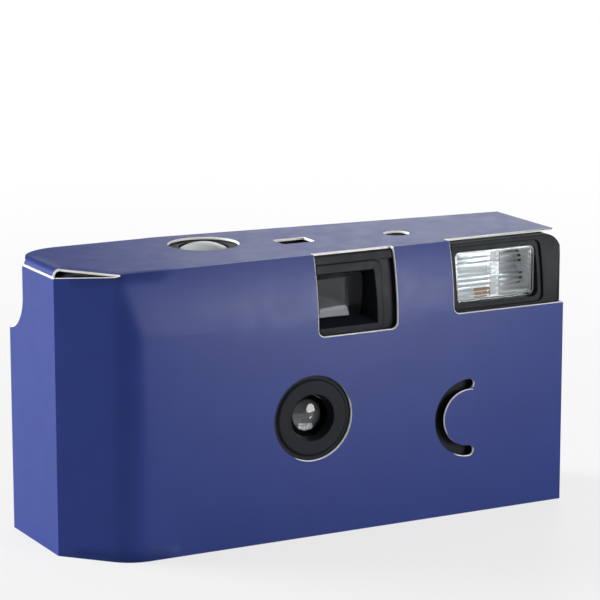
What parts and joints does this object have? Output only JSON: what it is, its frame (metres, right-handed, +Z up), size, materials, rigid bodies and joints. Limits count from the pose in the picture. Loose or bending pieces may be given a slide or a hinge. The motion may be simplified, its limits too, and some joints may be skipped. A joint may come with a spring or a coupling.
{
  "type": "disposable film camera",
  "caption": "Single-use 35 mm film camera in a plain blue folded card sleeve, with finder, flash, shutter button, thumb wheel and a working shutter and film drive inside.",
  "frame": {"origin": "middle of the case's outer box, on the surface that it stands on", "axes": "+X along the width to the flash end, +Y from the front to the back, +Z up"},
  "size_m": [0.118, 0.037, 0.062],
  "materials": {
    "card": "satin coated card",
    "black_plastic": "fine moulded texture",
    "grey_plastic": "moulded",
    "white_plastic": "moulded",
    "button_plastic": "satin",
    "dial_plastic": "printed",
    "lens": "clear moulded acrylic",
    "flash_lens": "clear ribbed",
    "tube_glass": "clear",
    "lamp_glass": "clear",
    "light_pipe": "translucent",
    "amber": "translucent",
    "reflector": "bright",
    "sheet_steel": "blackened sheet steel",
    "spring_steel": "drawn",
    "cassette_metal": "painted tinplate",
    "film": "film base",
    "board": "solder mask",
    "capacitor_sleeve": "shrink sleeve",
    "winding": "enamelled wire",
    "contact_brass": "plated",
    "battery_jacket": "plain jacket"
  },
  "bodies": {
    "camera": {"card_sleeve": "card", "front_cover": "black_plastic", "rear_cover": "black_plastic", "cassette_door": "black_plastic", "chassis": "grey_plastic", "lens_element": "lens", "lens_retainer": "grey_plastic", "aperture_plate": "sheet_steel", "film_cassette": "cassette_metal", "film_strip": "film", "viewfinder_housing": "black_plastic", "viewfinder_front_lens": "lens", "viewfinder_eyepiece": "lens", "flash_window": "flash_lens", "flash_reflector": "reflector", "flash_tube": "tube_glass", "flash_trigger_clip": "amber", "flash_board": "board", "flash_capacitor": "capacitor_sleeve", "flash_transformer": "winding", "ready_lamp": "lamp_glass", "ready_light_pipe": "light_pipe", "sync_contacts": "contact_brass", "battery": "battery_jacket", "battery_contact_positive": "contact_brass", "battery_contact_negative": "contact_brass", "button_spring": "spring_steel"},
    "flash_tongue": {"flash_button_flap": "card"},
    "charge_button": {"flash_charge_button": "black_plastic", "charge_contact": "contact_brass"},
    "release_button": {"shutter_button": "button_plastic"},
    "winder": {"film_advance_wheel": "black_plastic", "cassette_spool": "black_plastic"},
    "sprocket": {"film_sprocket": "white_plastic"},
    "counter": {"counter_disc": "dial_plastic"},
    "supply": {"supply_spool": "black_plastic", "film_supply_roll": "film"},
    "shutter": {"shutter_blade": "sheet_steel", "shutter_return_spring": "spring_steel"},
    "drive_lever": {"shutter_drive_lever": "white_plastic", "drive_spring": "spring_steel"},
    "metering": {"metering_lever": "white_plastic"},
    "pawl": {"anti_reverse_pawl": "white_plastic"}
  },
  "joints": [
    {"name": "release_press", "type": "slide", "parent": "camera", "child": "release_button", "axis": [0, 0, -1], "range_m": [0, 0.0012], "stiffness_N_per_m": 600, "springref_m": -0.0008, "deforming": ["button_spring"]},
    {"name": "wheel_turn", "type": "hinge", "parent": "camera", "child": "winder", "pos_m": [-0.04105, 0.0032, 0.054], "axis": [0, 0, 1], "continuous": true},
    {"name": "sprocket_turn", "type": "hinge", "parent": "camera", "child": "sprocket", "pos_m": [-0.02049, 0.00463, 0.05], "axis": [0, 0, 1], "continuous": true},
    {"name": "counter_turn", "type": "hinge", "parent": "camera", "child": "counter", "pos_m": [-0.00717, 0.0004, 0.057], "axis": [0, 0, 1], "continuous": true},
    {"name": "supply_turn", "type": "hinge", "parent": "camera", "child": "supply", "pos_m": [0.031, 0.0015, 0.0264], "axis": [0, 0, 1], "continuous": true},
    {"name": "shutter_drive", "type": "hinge", "parent": "camera", "child": "drive_lever", "pos_m": [-0.01901, -0.00172, 0.0478], "axis": [0, 0, 1], "range_deg": [0, 25], "stiffness_Nm_per_rad": 0.0002, "springref_deg": -28.65},
    {"name": "shutter_swing", "type": "hinge", "parent": "camera", "child": "shutter", "pos_m": [-0.01451, -0.01265, 0.0335], "axis": [0, 1, 0], "range_deg": [0, 30]},
    {"name": "metering_swing", "type": "hinge", "parent": "camera", "child": "metering", "pos_m": [-0.02405, -0.00547, 0.053], "axis": [0, 0, -1], "range_deg": [0, 8], "stiffness_Nm_per_rad": 0.0002, "springref_deg": -17.19},
    {"name": "pawl_swing", "type": "hinge", "parent": "camera", "child": "pawl", "pos_m": [-0.02655, -0.01, 0.0515], "axis": [0, 0, 1], "range_deg": [0, 6], "stiffness_Nm_per_rad": 0.0002, "springref_deg": -17.19},
    {"name": "charge_press", "type": "slide", "parent": "camera", "child": "charge_button", "axis": [0, 1, 0], "range_m": [0, 0.0012], "stiffness_N_per_m": 500, "springref_m": -0.0005},
    {"name": "tongue_bend", "type": "hinge", "parent": "camera", "child": "flash_tongue", "pos_m": [0.0358, -0.018, 0.0219], "axis": [0, 0, 1], "range_deg": [-8, 0]}
  ],
  "couplings": [
    {"joint": "sprocket_turn", "follows": "wheel_turn", "ratio": 1.157},
    {"joint": "counter_turn", "follows": "wheel_turn", "ratio": -0.0289},
    {"joint": "supply_turn", "follows": "wheel_turn", "ratio": 0.843},
    {"joint": "shutter_swing", "follows": "shutter_drive", "ratio": 1.2},
    {"joint": "tongue_bend", "follows": "charge_press", "rad_per_m": -116.3}
  ]
}
